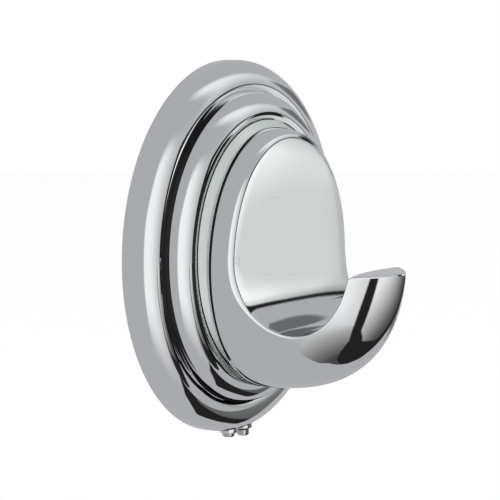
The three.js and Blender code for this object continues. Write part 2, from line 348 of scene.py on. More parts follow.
def rod(radius, low, high):
    """The profile of a plain round rod."""
    return [(0, low), (radius, low), (radius, high), (0, high)]


def hexagon(half_flat, sides):
    """The radius of a hexagon at each of the angles round it."""
    sixth = TURN / 6
    return half_flat / np.cos(np.mod(angles(sides), sixth) - sixth / 2)


def thread(radius, depth, pitch, low, high, sides, per_turn=10):
    """Radii and heights of a helical V thread.

    The radius falls from crest to root and back once in each pitch, with a small flat on both, and a full
    turn shifts that by one pitch.
    """
    flat = 0.125
    rows = int((high - low) / pitch * per_turn) + 1
    heights = np.linspace(low, high, rows)[:, None]
    phase = np.mod(heights / pitch - angles(sides) / TURN, 1)
    groove = np.clip((1 + 2 * flat) * np.abs(2 * phase - 1) - flat, 0, 1)
    return radius - depth * groove, heights


def unit(vectors):
    """Vectors at length one."""
    return vectors / np.linalg.norm(vectors, axis=-1, keepdims=True)


def ease(values, start, end):
    """Nothing before the start, one after the end, and a cubic between them without corners."""
    t = np.clip((values - start) / (end - start), 0, 1)
    return t * t * (3 - 2 * t)


def middle(low, high):
    """The point halfway between two corners of a box."""
    return (low + high) / 2


def radius_of(low, high):
    """The radius of a round piece, from the corners of its box."""
    return (high.x - low.x) / 2


class HookForm:
    """The hook's outer form before its throat is cut, in points of (across, out from the base, up).

    Each section parallel to the wall is two half ellipses on the widest level. Their half width follows a
    cubic plan curve that leaves the base straight and ends square to the nose, and their heights above and
    below fall to nothing at the nose as the root of one less a power of the share of the reach.
    """

    PLAN_POINTS = 20001
    NEWTON_STEPS = 4
    HALVINGS = 45

    def __init__(self, sizes):
        self.sizes = sizes
        t = np.linspace(0, 1, self.PLAN_POINTS)
        first = 3 * (1 - t) ** 2 * t
        last = 3 * (1 - t) * t ** 2
        self.plan_out = first * sizes.flank_handle + (last + t ** 3) * sizes.reach
        self.plan_squared = (((1 - t) ** 3 + first) * sizes.half_width + last * sizes.nose_handle) ** 2

    def section(self, out):
        """Half width, crown and belly of the sections at distances out from the base."""
        share = np.clip(out / self.sizes.reach, 0, 1 - 1e-9)
        crown = self.sizes.crown * np.sqrt(1 - share ** self.sizes.crown_power)
        belly = self.sizes.belly * np.sqrt(1 - share ** self.sizes.belly_power)
        half = np.sqrt(np.interp(share * self.sizes.reach, self.plan_out, self.plan_squared))
        return half, crown, belly

    def level(self, points):
        """Below zero inside the form and above zero outside it."""
        across, out, up = np.moveaxis(points, -1, 0)
        half, crown, belly = self.section(out)
        return across ** 2 + (up * half / np.where(up > 0, crown, belly)) ** 2 - half ** 2

    def gradient(self, points, step=2e-5):
        """The direction in which the level rises fastest, by central differences."""
        rises = [self.level(points + shift) - self.level(points - shift) for shift in step * np.eye(3)]
        return np.stack(rises, axis=-1) / (2 * step)

    def settle(self, points):
        """Points moved onto the form along its gradient, by Newton's method."""
        for _ in range(self.NEWTON_STEPS):
            slope = self.gradient(points)
            points = points - slope * (self.level(points) / (slope ** 2).sum(axis=-1))[..., None]
        return points

    def shoot(self, origin, direction, furthest):
        """The points where rays from inside meet the form, by halving the interval that holds each."""
        near = np.zeros(direction.shape[:-1])
        far = np.full(near.shape, furthest)
        for _ in range(self.HALVINGS):
            halfway = (near + far) / 2
            inside = self.level(origin + direction * halfway[..., None]) < 0
            near = np.where(inside, halfway, near)
            far = np.where(inside, far, halfway)
        return origin + direction * near[..., None]

    def ring(self, out, angle):
        """Points of the section at a distance out, by their angle on its ellipses."""
        half, crown, belly = self.section(out)
        up = np.sin(angle) * np.where(np.sin(angle) > 0, crown, belly)
        return np.stack(np.broadcast_arrays(half * np.cos(angle), out, up), axis=-1)


def throat_line(sizes, form, plate_points=1500, trough_points=3000, corner_points=200, tip_points=1500):
    """The side view of the cut through the hook, from the plate's top to the nose, as (out, up) points.

    It runs down the plate, round an ellipse and along the flat of the tip, with the tip's inner corner
    rounded. The plate's foot leans out by the square of the way down to the toe's end, and the trough goes on
    from it.
    """
    plate = sizes.plate_setback
    level = sizes.scoop_level + sizes.widest_drop
    tip = sizes.widest_drop - sizes.tip_drop
    centre = plate + sizes.plate_toe + sizes.scoop_half_width
    corner_round = 2 * sizes.rim
    turn_end = TURN + math.asin((tip - level) / sizes.scoop_height)
    corner = centre + sizes.scoop_half_width * math.cos(turn_end)
    nose = sizes.reach * (1 - (tip / sizes.belly) ** 2) ** (1 / sizes.belly_power)
    top = form.section(np.array(plate))[1]

    def lean(up):
        way = (sizes.widest_drop - sizes.toe_start - up) / (sizes.toe_end - sizes.toe_start)
        return sizes.plate_toe * np.clip(way, 0, 1) ** 2

    down = np.linspace(0, 1, plate_points)[:-1, None] ** 2
    plate_part = np.array([plate, top]) * (1 - down) + np.array([plate, level]) * down
    plate_part[:, 0] += lean(plate_part[:, 1])
    angle = np.linspace(math.pi, turn_end, trough_points)
    trough = np.stack([centre + sizes.scoop_half_width * np.cos(angle),
                       level + sizes.scoop_height * np.sin(angle)], axis=1)
    trough = trough[(angle < 1.5 * math.pi) | (trough[:, 1] < tip - corner_round)]
    trough[:, 0] -= np.where(trough[:, 0] < centre, sizes.plate_toe - lean(trough[:, 1]), 0)
    t = np.linspace(0, 1, corner_points)[1:-1, None]
    round_end = np.array([corner + corner_round, tip])
    rounding = (1 - t) ** 2 * trough[-1] + 2 * t * (1 - t) * np.array([corner, tip]) + t ** 2 * round_end
    along_tip = 1 - np.linspace(1, 0, tip_points)[:, None] ** 2
    flat = round_end * (1 - along_tip) + np.array([nose, tip]) * along_tip
    return np.concatenate([plate_part, trough, rounding, flat])


def throat_rim(sizes, form):
    """Lines along the right half of the throat's rim, closely spaced from the plate's top to the nose.

    The rim is where the cut meets the outer form. The cut runs straight across the hook, but up the lip its
    middle bows towards the wall by the square of the half breadth over twice the tip's bend. A rounding's
    breadth away from the rim lie the line where the rounding leaves the form and the line where it reaches
    the cut. The rounding is broader on the plate than in the trough.
    """
    foot_low, foot_high = -12 * MM, -4 * MM
    line = throat_line(sizes, form)
    run = np.concatenate([[0], np.cumsum(np.linalg.norm(np.diff(line, axis=0), axis=1))])
    floor = line[:, 1].argmin()
    at_tip = line[floor:, 1] > line[-1, 1] - sizes.rim / 4
    corner = floor + at_tip.argmax()
    bow = ease(run, run[floor], run[corner]) * np.clip((run[-1] - run) / (run[-1] - run[corner]), 0, 1)
    bow /= 2 * sizes.tip_bend
    half, crown, belly = form.section(line[:, 0])
    share = line[:, 1] / np.where(line[:, 1] > 0, crown, belly)
    across = half * np.sqrt(np.clip(1 - share ** 2, 0, 1))
    rim = np.stack([across, line[:, 0], line[:, 1]], axis=1)
    heading = unit(np.gradient(line, run, axis=0))
    cut_normal = unit(np.stack([2 * bow * across * heading[:, 1], -heading[:, 1], heading[:, 0]], axis=1))
    form_normal = unit(form.gradient(rim))
    tangent = unit(np.cross(cut_normal, form_normal))
    away = np.cross(tangent, form_normal)
    away *= -np.sign((away * cut_normal).sum(axis=1, keepdims=True))
    inward = np.cross(tangent, cut_normal)
    inward *= -np.sign((inward * form_normal).sum(axis=1, keepdims=True))
    forward = np.stack([np.zeros_like(run), heading[:, 0], heading[:, 1]], axis=1)
    on_plate = ease(line[:, 1], foot_low, foot_high) * (run < run[floor])
    breadth = sizes.rim + (sizes.plate_rim - sizes.rim) * on_plate
    return {
        "line": line,
        "run": run,
        "rim": rim,
        "away": away,
        "inward": inward,
        "breadth": breadth,
        "bow": bow,
        "leave": form.settle(rim + breadth[:, None] * away),
        "reach_across": across + breadth * inward[:, 0],
        "reach_run": run + breadth * (inward * forward).sum(axis=1),
    }


def sampled(values, measure, places):
    """Values that are known closely along a line, read off at chosen places on it."""
    columns = values.reshape(len(measure), -1).T
    return np.stack([np.interp(places, measure, column) for column in columns], axis=-1)


def mirrored(grid):
    """A grid of the right half followed by its mirror image, so that the columns close into rings."""
    return np.concatenate([grid, (grid * np.array([-1, 1, 1]))[:, ::-1]], axis=1)


def hook_front(sizes, form, base_columns=200, nose_columns=170, cut_rows=9, rim_rows=8, flank_rows=80):
    """The right half of the throat, its rounded rim and the flank, as columns along the rim.

    A column starts on the middle of the cut, runs straight across it to the rim, turns over the rim on a
    cubic curve and goes on over the flank. From the plate it keeps its angle on the ellipses back to the
    base. From the trough and tip it stays in a plane through one level line in the throat's middle, the axis,
    and ends on the base's edge or under the hook on the middle. Columns stand closer where the cut bends, and
    closer still towards the hook's underside.
    """
    bend_spacing = 2 * MM
    crowding = 1.7
    top_margin, nose_margin = 6 * MM, 4 * MM
    fullness = 0.55
    lines = throat_rim(sizes, form)
    line = lines["line"]
    axis = np.array([sizes.plate_setback + sizes.scoop_half_width, sizes.scoop_level + sizes.widest_drop])
    steps = np.diff(line, axis=0)
    heading = np.unwrap(np.arctan2(steps[:, 1], steps[:, 0]))
    bend = np.abs(np.diff(heading, prepend=heading[0]))
    spacing = np.linalg.norm(np.diff(lines["rim"], axis=0), axis=1) + bend_spacing * bend
    measure = np.concatenate([[0], np.cumsum(spacing)])

    half, crown, belly = form.section(np.array(sizes.edge))
    spokes = lines["leave"][:, 1:] - axis
    bearings = np.mod(np.arctan2(spokes[:, 1], spokes[:, 0]), TURN)
    lowest = math.atan2(-belly - axis[1], sizes.edge - axis[0]) % TURN
    turn_under = np.interp(lowest, bearings, measure)
    closing = 1 - np.linspace(1, 0, base_columns + 1) ** crowding
    nose_places = np.linspace(turn_under, measure[-1], nose_columns + 1)[1:]
    places = np.concatenate([turn_under * closing, nose_places])
    leave = sampled(lines["leave"], measure, places)
    away = sampled(lines["away"], measure, places)
    inward = sampled(lines["inward"], measure, places)
    bearing = np.interp(places, measure, bearings)

    # Straight across the cut, to where the rim's rounding begins
    run = np.interp(places, measure, lines["reach_run"])
    heart = np.clip(run, top_margin, lines["run"][-1] - nose_margin)
    share = np.linspace(0, 1, cut_rows)[:, None]
    across = np.interp(places, measure, lines["reach_across"]) * share
    runs = heart + (run - heart) * share
    out_up = sampled(line, lines["run"], runs.ravel()).reshape(cut_rows, -1, 2)
    out_up[..., 0] -= np.interp(runs, lines["run"], lines["bow"]) * (across[-1] ** 2 - across ** 2)
    on_plate = (np.interp(places, measure, lines["breadth"]) - sizes.rim) / (sizes.plate_rim - sizes.rim)
    out_up[..., 0] -= sizes.plate_dish * on_plate * (1 - (across / across.max()) ** 2)
    cut = np.concatenate([across[..., None], out_up], axis=-1)

    # Over the rim
    t = np.linspace(0, 1, rim_rows + 2)[1:-1, None, None]
    handle = fullness * np.interp(places, measure, lines["breadth"])[:, None]
    rim = (1 - t) ** 3 * cut[-1] + 3 * (1 - t) ** 2 * t * (cut[-1] - handle * inward)
    rim += 3 * (1 - t) * t ** 2 * (leave - handle * away) + t ** 3 * leave

    # From the plate's rim straight back, each column at its own angle on the ellipses
    share = np.linspace(0, 1, flank_rows)[:, None]
    leave_half, leave_crown, _ = form.section(leave[:, 1])
    angle = np.arctan2(leave[:, 2] / leave_crown, leave[:, 0] / leave_half)
    straight = form.ring(leave[:, 1] + (sizes.edge - leave[:, 1]) * share, angle)

    # From the trough's and tip's rim within a plane through the axis, by the angle from the trough's floor
    aim = np.stack([np.cos(bearing), np.sin(bearing)], axis=-1)
    line_spokes = line - axis
    line_bearings = np.mod(np.arctan2(line_spokes[:, 1], line_spokes[:, 0]), TURN)
    floor = np.interp(bearing, line_bearings, np.linalg.norm(line_spokes, axis=1))
    pole = np.concatenate([np.zeros((len(places), 1)), axis + floor[:, None] * aim], axis=1)
    start = np.arctan2(((leave - pole)[:, 1:] * aim).sum(axis=1), leave[:, 0])
    steepest = -0.1
    base = (sizes.edge - axis[0]) / np.minimum(aim[:, 0], steepest)
    base_up = axis[1] + base * aim[:, 1]
    base_across = half * np.sqrt(np.clip(1 - (base_up / np.where(base_up > 0, crown, belly)) ** 2, 0, 1))
    end = np.where(np.arange(len(places)) < base_columns, np.arctan2(base - floor, base_across), math.pi / 2)
    tilt = start + (end - start) * share
    direction = np.stack([np.cos(tilt), np.sin(tilt) * aim[:, 0], np.sin(tilt) * aim[:, 1]], axis=-1)
    swept = form.shoot(pole, direction, 2 * sizes.reach)

    flank = np.where((bearing < math.pi)[None, :, None], straight, swept)
    flank[0] = leave
    flank[-1, base_columns:, 0] = 0
    return np.concatenate([cut, rim, flank]), base_columns


def hook_back(sizes, form, edge_line, thickness, hole_end, screw_drop, edge_rows=8, face_rows=6):
    """The right half of the hook's back: the base's rounded edge, the neck and the tapped hole.

    Every ring has a point for each column of the flank, at that column's angle about the rosette's centre.
    """
    half, crown, belly = form.section(np.array(sizes.edge))
    height = np.where(edge_line[:, 2] > 0, crown, belly)
    corner = form.ring(0 * height, np.arctan2(edge_line[:, 2] / height, edge_line[:, 0] / half))
    inset = corner * (1 - sizes.edge / np.linalg.norm(corner, axis=1, keepdims=True))
    t = np.linspace(0, 1, edge_rows)[:, None, None]
    rounding = (1 - t) ** 2 * edge_line + 2 * t * (1 - t) * corner + t ** 2 * inset
    angle = np.arctan2(inset[:, 2] - sizes.widest_drop, inset[:, 0])

    def ring(radius, out, drop=0):
        up = sizes.widest_drop - drop + radius * np.sin(angle)
        return np.stack(np.broadcast_arrays(radius * np.cos(angle), out, up), axis=-1)

    chamfer = sizes.seat_gap
    neck = ring(sizes.neck_radius, chamfer / 2 - thickness)
    outer = ring(sizes.neck_radius - chamfer / 2, -thickness)
    mouth = ring(sizes.tapped_radius + chamfer, -thickness, screw_drop)
    face = outer + (mouth - outer) * np.linspace(0, 1, face_rows)[:, None, None]
    hole = [ring(sizes.tapped_radius, chamfer - thickness, screw_drop),
            ring(sizes.tapped_radius, hole_end, screw_drop), ring(0, hole_end, screw_drop)]
    return np.concatenate([rounding, neck[None], face, np.stack(hole)])


def rosette_profile(sizes, cavity):
    """The rosette's section as (radius, out from the wall): two stacked half-round beads over a hollow back.

    Each bead is an arc. The inner one starts where the outer one ends, level with its own centre.
    """
    outer = (sizes.radius - sizes.outer_bead, sizes.outer_bead_depth)
    crease = math.acos(-sizes.bead_step / sizes.outer_bead)
    inner = (outer[0] - sizes.bead_step - sizes.inner_bead, outer[1] + sizes.outer_bead * math.sin(crease))
    seat = math.acos((sizes.seat_radius - inner[0]) / sizes.inner_bead)
    hollow = sizes.outer_bead - sizes.wall
    edge = sizes.edge
    front = sizes.crest - sizes.seat_drop
    return np.concatenate([
        [(0, sizes.web_back), (cavity - edge, sizes.web_back), (cavity, sizes.web_back - edge)],
        [(cavity, outer[1] + hollow)],
        arc(outer, hollow, math.pi / 2, 0, 24),
        [(sizes.radius - sizes.wall, edge), (sizes.radius - sizes.wall + edge, 0)],
        [(sizes.radius - edge, 0), (sizes.radius, edge)],
        arc(outer, sizes.outer_bead, 0, crease, 72),
        arc(inner, sizes.inner_bead, 0, seat, 64)[1:],
        [(sizes.seat_radius, front), (0, front)],
    ])


def prism(outline, low, high):
    """A closed grid of a flat outline of (across, up) points carried straight out from the wall."""
    heart = np.broadcast_to(outline.mean(axis=0), outline.shape)
    flats = np.stack([heart, outline, outline, heart])
    outs = np.broadcast_to(np.array([low, low, high, high])[:, None], flats.shape[:2])
    return np.stack([flats[..., 0], -outs, flats[..., 1]], axis=-1)


def make_rosette(context):
    """The rosette: its turned shell, the boss and two lugs for the set screws, and its holes."""
    sizes = context.scene.wall_hook_rosette
    fixings = context.scene.wall_hook_fixings
    shell_sides = 400
    profile = rosette_profile(sizes, BRACKET_HIGH.x + sizes.bracket_gap)
    shell = mesh_from_grids("rosette", [turned(profile, shell_sides)])
    half = fixings.boss_width / 2
    outline = np.array([(-half, -fixings.boss_low), (half, -fixings.boss_low),
                        (half, -fixings.boss_high), (-half, -fixings.boss_high)])
    casting = mesh_from_grids("boss", [prism(outline, 0, fixings.boss_depth)])
    low = -sizes.radius - fixings.lug_drop
    edge = fixings.lug_edge
    bore = radius_of(SET_SCREW_LOW, SET_SCREW_HIGH) + fixings.set_hole_gap
    holes = []
    for node in ("set_screw_left", "set_screw_right"):
        place = middle(*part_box(node)).xy
        corner = arc((fixings.lug_radius - edge, low + edge), edge, -math.pi / 2, 0, 8)
        top = -fixings.boss_high - edge
        lug = np.concatenate([[(0, low)], corner, [(fixings.lug_radius, top), (0, top)]])
        casting = carve(casting, mesh_from_grids("lug", [turned(lug, SMALL_SIDES, place, True)]), "UNION")
        holes.append(turned(rod(bore, low - edge, edge - fixings.boss_high), SMALL_SIDES, place, True))
    screw = middle(HOOK_SCREW_LOW, HOOK_SCREW_HIGH)
    holes.append(turned(rod(fixings.washer_bore, 0, sizes.crest), SMALL_SIDES, (0, screw.z)))
    holes.append(turned(rod(sizes.pip_hole, 0, sizes.crest), SMALL_SIDES, (0, sizes.pip_rise)))
    shell = carve(carve(shell, casting, "UNION"), mesh_from_grids("holes", holes), "DIFFERENCE")
    dress("rosette_shell", shell, "cover", "chrome_plate", "rosette", bright_chrome())


def make_hook(context):
    """The hook: its throat, rim, flanks, base, neck and locating pip."""
    sizes = context.scene.wall_hook_body
    rosette = context.scene.wall_hook_rosette
    form = HookForm(sizes)
    base = rosette.crest + sizes.reveal
    thickness = sizes.reveal + rosette.seat_drop - sizes.seat_gap
    front, base_columns = hook_front(sizes, form)
    drop = -middle(HOOK_SCREW_LOW, HOOK_SCREW_HIGH).z
    back = hook_back(sizes, form, front[-1, :base_columns + 1], thickness, sizes.tapped_end - base, drop)
    grids = []
    for half in (front, back):
        across, out, up = np.moveaxis(mirrored(half), -1, 0)
        grids.append(np.stack([across, -base - out, up - sizes.widest_drop], axis=-1))
    pip_end = -HOOK_HIGH.y
    pip_root = base - thickness + sizes.pip_chamfer
    pip = [(0, pip_root), (sizes.pip_radius, pip_root), (sizes.pip_radius, pip_end + sizes.pip_chamfer),
           (sizes.pip_radius - sizes.pip_chamfer, pip_end), (0, pip_end)]
    pip_sides = 48
    grids.append(turned(pip, pip_sides, (0, rosette.pip_rise)))
    mesh = mesh_from_grids("hook", grids)
    piece = dress("hook_casting", mesh, "cover", "chrome_plate", "hook_body", bright_chrome(), neck_chrome())
    centres = np.empty(3 * len(mesh.polygons))
    mesh.polygons.foreach_get("center", centres)
    behind = centres[1::3] > -base - sizes.edge
    piece.data.polygons.foreach_set("material_index", behind.astype(np.int32))


def socket(key, key_depth, end, sides):
    """Rings of a hexagon socket in the lower end of a screw, from its floor out to a small countersink."""
    countersink = 0.1 * MM
    floor = end + key_depth
    flats = hexagon(key, sides)
    return [(0, floor), (flats, floor), (flats, end + countersink), (flats + countersink, end)]


def ringed(rings, sides, place, upright=False):
    """A grid from (radius, height) rings, where a radius may differ from side to side."""
    grids = []
    for radius, height in rings:
        heights = np.atleast_2d(height)
        radii = np.broadcast_to(np.atleast_2d(radius), (len(heights), sides))
        grids.append(spun(radii, heights, sides, place, upright))
    return np.concatenate(grids)


def make_set_screws(context):
    """Two M2.5 set screws: a smooth end with a hexagon socket below, a thread and a cup point above."""
    sizes = context.scene.wall_hook_fixings
    thread_depth = 0.27 * MM
    chamfer = 0.35 * MM
    bulge_in, bulge_up = 0.1 * MM, 0.12 * MM
    cup_radius, cup_depth = 0.6 * MM, 0.4 * MM
    for side in ("left", "right"):
        low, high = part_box("set_screw_" + side)
        radius = radius_of(low, high)
        plain = low.z + sizes.set_plain_end
        rings = socket(sizes.set_key, sizes.set_key_depth, low.z, SMALL_SIDES)
        rings += [
            (radius - chamfer, low.z), (radius - bulge_in, low.z + bulge_up), (radius, low.z + chamfer),
            (radius, plain - thread_depth),
            thread(radius, thread_depth, sizes.set_pitch, plain, high.z - chamfer, SMALL_SIDES),
            (radius - chamfer, high.z), (cup_radius, high.z), (0, high.z - cup_depth)]
        mesh = mesh_from_grids("set_screw", [ringed(rings, SMALL_SIDES, middle(low, high).xy, True)])
        dress("set_screw_thread_" + side, mesh, side + "_set_screw", "stainless_steel", "set_screw_" + side,
              turned_stainless())


def add_hook_screw(sizes, place):
    """The M5 screw: a round head with a hexagon socket, and a thread to a chamfered end."""
    back, end = -HOOK_SCREW_HIGH.y, -HOOK_SCREW_LOW.y
    radius = radius_of(HOOK_SCREW_LOW, HOOK_SCREW_HIGH)
    seat = back + sizes.hook_head
    edge = 0.3 * MM
    thread_depth = 0.4 * MM
    end_chamfer = 0.6 * MM
    rings = socket(sizes.hook_key, sizes.hook_key_depth, back, SMALL_SIDES)
    rings += [
        (radius - edge, back), (radius, back + edge), (radius, seat - edge / 2), (radius - edge / 2, seat),
        (sizes.hook_shank, seat),
        thread(sizes.hook_shank, thread_depth, sizes.hook_pitch, seat + edge, end - edge, SMALL_SIDES),
        (sizes.hook_shank - end_chamfer, end), (0, end)]
    mesh = mesh_from_grids("hook_screw", [ringed(rings, SMALL_SIDES, place)])
    dress("hook_screw_thread", mesh, "cover", "zinc_plated_steel", "hook_screw", bright_zinc())


def add_spring_washer(sizes, place):
    """The spring washer: a rounded section carried round most of a turn, with a gap at the top."""
    outer = radius_of(SPRING_LOW, SPRING_HIGH)
    low, high = -SPRING_HIGH.y, -SPRING_LOW.y
    edge = 0.15 * MM
    stations = 97
    section = rounded([(sizes.washer_bore, low, edge), (outer, low, edge),
                       (outer, high, edge), (sizes.washer_bore, high, edge)])
    gap = sizes.spring_split / (outer + sizes.washer_bore)
    turn = np.linspace(math.pi / 2 + gap, TURN + math.pi / 2 - gap, stations)[:, None]
    coil = np.stack(np.broadcast_arrays(place[0] + section[:, 0] * np.cos(turn), -section[:, 1],
                                        place[1] + section[:, 0] * np.sin(turn)), axis=-1)
    ends = np.broadcast_to(coil.mean(axis=1, keepdims=True), coil.shape)
    mesh = mesh_from_grids("spring_washer", [np.concatenate([ends[:1], coil, ends[-1:]])])
    dress("spring_washer_coil", mesh, "cover", "zinc_plated_steel", "spring_washer", bright_zinc())


def add_flat_washer(sizes, place):
    """The flat washer: a turned ring, pressed rounder on one outer edge."""
    outer = radius_of(WASHER_LOW, WASHER_HIGH)
    low, high = -WASHER_HIGH.y, -WASHER_LOW.y
    edge, pressed_edge = 0.1 * MM, 0.25 * MM
    sides = 96
    section = rounded([(sizes.washer_bore, low, edge), (outer, low, pressed_edge),
                       (outer, high, edge), (sizes.washer_bore, high, edge)])
    mesh = mesh_from_grids("flat_washer", [turned(looped(section), sides, place)])
    dress("flat_washer_ring", mesh, "cover", "zinc_plated_steel", "flat_washer", bright_zinc())


def make_hook_screw(context):
    """The socket screw that holds the hook to the rosette, its spring washer and its flat washer."""
    sizes = context.scene.wall_hook_fixings
    place = (0, middle(HOOK_SCREW_LOW, HOOK_SCREW_HIGH).z)
    add_hook_screw(sizes, place)
    add_spring_washer(sizes, place)
    add_flat_washer(sizes, place)


def make_bracket(context):
    """The pressed steel dish on the wall, with a level slot for each wall screw."""
    sizes = context.scene.wall_hook_fixings
    radius = BRACKET_HIGH.x
    depth = -BRACKET_LOW.y
    inside = radius - sizes.sheet
    outer_bend, inner_bend, edge = 1.2 * MM, 0.6 * MM, 0.3 * MM
    dish_sides, bend_steps, slot_steps = 240, 9, 24
    section = rounded([(0, 0, 0), (radius, 0, outer_bend), (radius, depth, edge), (inside, depth, edge),
                       (inside, sizes.sheet, inner_bend), (0, sizes.sheet, 0)], bend_steps)
    dish = mesh_from_grids("bracket", [turned(section, dish_sides)])
    straight = (sizes.slot_length - sizes.slot_width) / 2
    round_end = arc((straight, 0), sizes.slot_width / 2, -math.pi / 2, math.pi / 2, slot_steps)
    outline = np.concatenate([round_end, -round_end])
    slots = [prism(outline + (0, middle(*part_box(node)).z), -MM, sizes.sheet + MM)
             for node in ("wall_screw_upper", "wall_screw_lower")]
    dish = carve(dish, mesh_from_grids("slots", slots), "DIFFERENCE")
    dress("wall_bracket_dish", dish, "bracket", "zinc_plated_steel", "wall_bracket", bright_zinc())


def pan_head(radius, height, seat, edge, sides):
    """A pan head with a cross recess, as rings from its edge to its middle.

    The head falls from its crown as the fourth power of the radius. Inside each arm of the cross it drops
    further, along walls that slope towards the cross's centre line.
    """
    rings = 40
    edge_fall = 0.55
    arm_half, arm_slope = 0.55 * MM, 0.25 * MM
    arm_reach, arm_end_slope = 2.1 * MM, 0.7 * MM
    cross_depth = 1.2 * MM
    reach = np.linspace(1, 0, rings)[:, None] * (radius - edge)
    theta = angles(sides)
    dome = seat + height * (1 - edge_fall * (reach / radius) ** 4)
    off_arm = np.minimum(np.abs(reach * np.cos(theta)), np.abs(reach * np.sin(theta)))
    wall = np.clip((arm_half - off_arm) / arm_slope, 0, 1)
    end = np.clip((arm_reach - reach) / arm_end_slope, 0, 1)
    return np.broadcast_to(reach, wall.shape), dome - cross_depth * wall * end


def wall_screw_rings(sizes):
    """Rings of a wall screw: a blunt point, a coarse thread that tapers to it, and a pan head."""
    radius = radius_of(WALL_SCREW_LOW, WALL_SCREW_HIGH)
    end, top = -WALL_SCREW_HIGH.y, -WALL_SCREW_LOW.y
    seat = top - sizes.wall_head
    thread_depth, thread_stop = 0.5 * MM, 0.5 * MM
    tip = 0.2 * MM
    tip_share = 0.08
    rows_per_turn = 14
    neck = 0.1 * MM
    edge, edge_height = 0.2 * MM, 0.25 * MM
    side_share = 0.35
    radii, heights = thread(sizes.wall_shank, thread_depth, sizes.wall_pitch, end + tip, seat - thread_stop,
                            SMALL_SIDES, rows_per_turn)
    taper = np.clip((heights - end) / sizes.wall_point, tip_share, 1)
    return [
        (0, end), (radii * taper, heights), (sizes.wall_shank, seat - neck), (sizes.wall_shank, seat),
        (radius - edge, seat), (radius, seat + edge_height), (radius, seat + side_share * sizes.wall_head),
        pan_head(radius, sizes.wall_head, seat, edge, SMALL_SIDES)]


def wall_plug_profile(sizes):
    """The section of a plug: a bore, a chamfered nose, a taper, saw-tooth barbs and a rounded mouth."""
    radius = radius_of(PLUG_LOW, PLUG_HIGH)
    end, mouth = -PLUG_HIGH.y, -PLUG_LOW.y
    barb_depth, barb_shape = 0.35 * MM, np.array([0, 0.75, 0.8])
    edge = 0.2 * MM
    collar = 0.1 * MM
    nose_step = 0.4 * MM
    nose = radius - nose_step
    bore = sizes.plug_bore
    roots = np.arange(end + sizes.plug_taper, mouth - sizes.plug_rib, sizes.plug_rib)[:, None]
    heights = roots + barb_shape * sizes.plug_rib
    radii = np.broadcast_to(radius - np.array([barb_depth, 0, barb_depth]), heights.shape)
    barbs = np.stack([radii.ravel(), heights.ravel()], axis=1)
    return np.concatenate([
        [(bore, end), (nose - edge, end), (nose, end + edge)],
        barbs,
        [(radius, barbs[-1, 1] + collar), (radius, mouth - edge), (radius - edge, mouth)],
        [(bore + edge, mouth), (bore, mouth - edge)],
    ])


def make_wall_screws(context):
    """Two pan-head wall screws with a coarse thread, and the nylon plugs that they expand in the wall."""
    sizes = context.scene.wall_hook_fixings
    rings = wall_screw_rings(sizes)
    tube = wall_plug_profile(sizes)
    for level in ("upper", "lower"):
        place = (0, middle(*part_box("wall_screw_" + level)).z)
        screw = mesh_from_grids("wall_screw", [ringed(rings, SMALL_SIDES, place)])
        dress("wall_screw_thread_" + level, screw, "bracket", "zinc_plated_steel", "wall_screw_" + level,
              bright_zinc())
        plug = mesh_from_grids("wall_plug", [turned(looped(tube), SMALL_SIDES, place)])
        dress("wall_plug_sleeve_" + level, plug, "bracket", "grey_nylon", "wall_plug_" + level,
              moulded_nylon())


def add(tree, kind, inputs=None, **settings):
    """A node with its settings, each of its inputs linked to a socket or set to a value."""
    node = tree.nodes.new(kind)
    for key, value in settings.items():
        setattr(node, key, value)
    for key, value in (inputs or {}).items():
        if isinstance(value, bpy.types.NodeSocket):
            tree.links.new(value, node.inputs[key])
        else:
            node.inputs[key].default_value = value
    return node


def finish(name, tint, metallic, roughness, grain, height):
    """A material of one tint, with grains of a size in metres that stand up and down by a height."""
    if name in bpy.data.materials:
        return bpy.data.materials[name]
    material = bpy.data.materials.new(name)
    material.use_nodes = True
    tree = material.node_tree
    tree.nodes.clear()
    place = add(tree, "ShaderNodeTexCoord").outputs["Object"]
    noise = add(tree, "ShaderNodeTexNoise", {"Vector": place, "Scale": 1 / grain, "Detail": 2.0})
    bump = add(tree, "ShaderNodeBump", {"Height": noise.outputs["Fac"], "Distance": height})
    shader = add(tree, "ShaderNodeBsdfPrincipled", {
        "Base Color": (*tint, 1), "Metallic": metallic, "Roughness": roughness,
        "Normal": bump.outputs["Normal"]})
    add(tree, "ShaderNodeOutputMaterial", {"Surface": shader.outputs["BSDF"]})
    return material


def bright_chrome():
    # Chrome plate over hand-polished cast zinc: a near-perfect mirror with a faint long waviness
    tint = bpy.context.scene.wall_hook_finishes.chrome
    return finish("bright chrome plate", tint,
                  metallic=1, roughness=0.03, grain=9 * MM, height=0.004 * MM)


def neck_chrome():
    # Thin chrome plate where no polishing wheel reaches: pale and hazy, with small dents
    tint = bpy.context.scene.wall_hook_finishes.cast_chrome
    return finish("chrome plate as cast", tint,
                  metallic=0.3, roughness=0.25, grain=2.5 * MM, height=0.01 * MM)


def bright_zinc():
    # Bright zinc plate on steel: a soft silvery sheen with a fine grain
    tint = bpy.context.scene.wall_hook_finishes.zinc
    return finish("bright zinc plate", tint,
                  metallic=1, roughness=0.3, grain=0.4 * MM, height=0.004 * MM)


def turned_stainless():
    # Turned stainless steel: warmer and duller than the chrome, with fine tool marks
    tint = bpy.context.scene.wall_hook_finishes.stainless
    return finish("turned stainless steel", tint,
                  metallic=1, roughness=0.22, grain=0.3 * MM, height=0.004 * MM)


def moulded_nylon():
    # Moulded nylon: an even grey with a dull, slightly grained skin
    tint = bpy.context.scene.wall_hook_finishes.nylon
    return finish("moulded nylon", tint,
                  metallic=0, roughness=0.45, grain=0.5 * MM, height=0.01 * MM)


